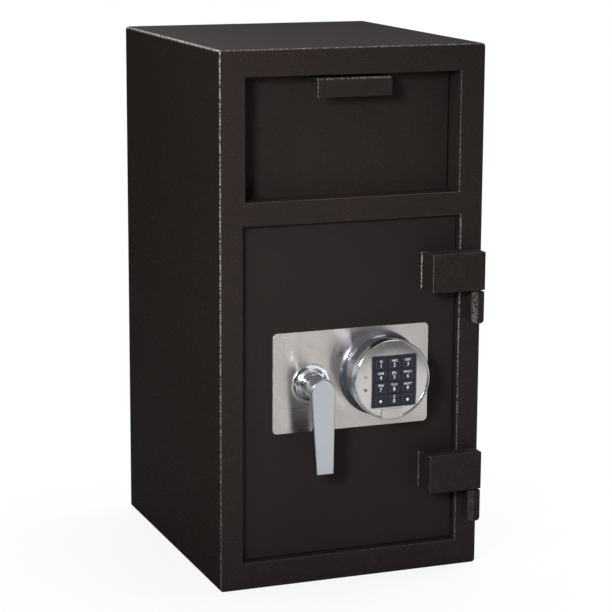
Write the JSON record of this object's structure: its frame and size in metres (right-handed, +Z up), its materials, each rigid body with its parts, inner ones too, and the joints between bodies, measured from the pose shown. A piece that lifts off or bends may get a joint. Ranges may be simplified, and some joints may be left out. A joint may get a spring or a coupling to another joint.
{
  "type": "deposit safe",
  "caption": "Front-loading deposit safe with a tilting hopper above a recessed hinged door, lever handle and round electronic keypad.",
  "frame": {"origin": "centre of the cabinet's bottom face", "axes": "+Z up, -Y towards the front (door and hopper), +X to the right of the front"},
  "size_m": [0.356, 0.432, 0.686],
  "materials": {
    "shell_paint": "charcoal textured powder coat",
    "front_paint": "charcoal powder coat, semi-matt",
    "door_paint": "charcoal powder coat, matt",
    "raw_steel": "zinc-plated steel",
    "polished_steel": "polished steel",
    "cast_zinc": "die-cast zinc",
    "copper_brass": "plain brass",
    "black_rubber": "matt",
    "satin_plate": "satin",
    "satin_lever": "satin pearl chrome",
    "chrome_ring": "polished chrome",
    "navy_keys": "matt silicone",
    "green_board": "coated circuit board",
    "light_lens": "clear lens",
    "black_cable": "cable sheath",
    "battery_case": "plain jacket"
  },
  "bodies": {
    "cabinet": {"body_wrap": "shell_paint", "back_panel": "shell_paint", "front_frame": "front_paint", "door_jamb": "front_paint", "door_stops": "front_paint", "bolt_keeper": "raw_steel", "hinge_knuckles": "front_paint", "hinge_pins": "polished_steel", "hinge_washers": "copper_brass", "hopper_sleeve": "front_paint", "hopper_baffle": "front_paint", "hopper_rod": "polished_steel", "rod_clips": "polished_steel", "hopper_bumper": "black_rubber"},
    "hopper": {"hopper_panel": "front_paint", "hopper_pull": "front_paint", "hopper_cheek_left": "front_paint", "hopper_cheek_right": "front_paint", "hopper_tray": "front_paint"},
    "door": {"door_plate": "door_paint", "hinge_arms": "front_paint", "trim_plate": "satin_plate", "handle_rose": "satin_plate", "dead_bar": "raw_steel", "bolt_guide": "raw_steel", "plate_rest": "raw_steel", "lock_case": "cast_zinc", "lock_cover": "cast_zinc", "boltwork_cover": "front_paint", "door_screws": "polished_steel", "keypad_base": "chrome_ring", "keypad_housing": "chrome_ring", "keypad_face": "satin_plate", "key_frame": "navy_keys", "key_mat": "navy_keys", "circuit_board": "green_board", "status_lights": "light_lens", "lock_lead": "black_cable"},
    "handle": {"handle_lever": "satin_lever", "handle_spindle": "polished_steel", "handle_cam": "raw_steel"},
    "boltwork": {"bolt_bar": "raw_steel", "drive_plate": "raw_steel", "live_bolts": "polished_steel", "bolt_screws": "polished_steel"},
    "lock_bolt": {"lock_bolt": "copper_brass"},
    "battery_drawer": {"battery_tray": "satin_plate", "battery": "battery_case"},
    "key_1": {"key_1": "navy_keys"},
    "key_2": {"key_2": "navy_keys"},
    "key_3": {"key_3": "navy_keys"},
    "key_4": {"key_4": "navy_keys"},
    "key_5": {"key_5": "navy_keys"},
    "key_6": {"key_6": "navy_keys"},
    "key_7": {"key_7": "navy_keys"},
    "key_8": {"key_8": "navy_keys"},
    "key_9": {"key_9": "navy_keys"},
    "key_star": {"key_star": "navy_keys"},
    "key_0": {"key_0": "navy_keys"},
    "key_hash": {"key_hash": "navy_keys"}
  },
  "joints": [
    {"name": "door_hinge", "type": "hinge", "parent": "cabinet", "child": "door", "pos_m": [0.165, -0.209, 0.25125], "axis": [0, 0, 1], "range_deg": [0, 100]},
    {"name": "hopper_hinge", "type": "hinge", "parent": "cabinet", "child": "hopper", "pos_m": [0, -0.15, 0.505], "axis": [1, 0, 0], "range_deg": [0, 45]},
    {"name": "handle_turn", "type": "hinge", "parent": "door", "child": "handle", "pos_m": [-0.0535, -0.198, 0.26], "axis": [0, 1, 0], "range_deg": [0, 90]},
    {"name": "bolt_throw", "type": "slide", "parent": "door", "child": "boltwork", "axis": [-1, 0, 0], "range_m": [0, 0.022]},
    {"name": "lock_bolt_drop", "type": "slide", "parent": "door", "child": "lock_bolt", "axis": [0, 0, -1], "range_m": [0, 0.008]},
    {"name": "battery_drawer_slide", "type": "slide", "parent": "door", "child": "battery_drawer", "axis": [0, 0, -1], "range_m": [0, 0.055]},
    {"name": "key_1_press", "type": "slide", "parent": "door", "child": "key_1", "axis": [0, 1, 0], "range_m": [0, 0.0012], "stiffness_N_per_m": 400},
    {"name": "key_2_press", "type": "slide", "parent": "door", "child": "key_2", "axis": [0, 1, 0], "range_m": [0, 0.0012], "stiffness_N_per_m": 400},
    {"name": "key_3_press", "type": "slide", "parent": "door", "child": "key_3", "axis": [0, 1, 0], "range_m": [0, 0.0012], "stiffness_N_per_m": 400},
    {"name": "key_4_press", "type": "slide", "parent": "door", "child": "key_4", "axis": [0, 1, 0], "range_m": [0, 0.0012], "stiffness_N_per_m": 400},
    {"name": "key_5_press", "type": "slide", "parent": "door", "child": "key_5", "axis": [0, 1, 0], "range_m": [0, 0.0012], "stiffness_N_per_m": 400},
    {"name": "key_6_press", "type": "slide", "parent": "door", "child": "key_6", "axis": [0, 1, 0], "range_m": [0, 0.0012], "stiffness_N_per_m": 400},
    {"name": "key_7_press", "type": "slide", "parent": "door", "child": "key_7", "axis": [0, 1, 0], "range_m": [0, 0.0012], "stiffness_N_per_m": 400},
    {"name": "key_8_press", "type": "slide", "parent": "door", "child": "key_8", "axis": [0, 1, 0], "range_m": [0, 0.0012], "stiffness_N_per_m": 400},
    {"name": "key_9_press", "type": "slide", "parent": "door", "child": "key_9", "axis": [0, 1, 0], "range_m": [0, 0.0012], "stiffness_N_per_m": 400},
    {"name": "key_star_press", "type": "slide", "parent": "door", "child": "key_star", "axis": [0, 1, 0], "range_m": [0, 0.0012], "stiffness_N_per_m": 400},
    {"name": "key_0_press", "type": "slide", "parent": "door", "child": "key_0", "axis": [0, 1, 0], "range_m": [0, 0.0012], "stiffness_N_per_m": 400},
    {"name": "key_hash_press", "type": "slide", "parent": "door", "child": "key_hash", "axis": [0, 1, 0], "range_m": [0, 0.0012], "stiffness_N_per_m": 400}
  ],
  "couplings": [
    {"joint": "bolt_throw", "follows": "handle_turn", "m_per_rad": 0.014005},
    {"joint": "lock_bolt_drop", "follows": "handle_turn", "m_per_rad": 0.005092}
  ]
}
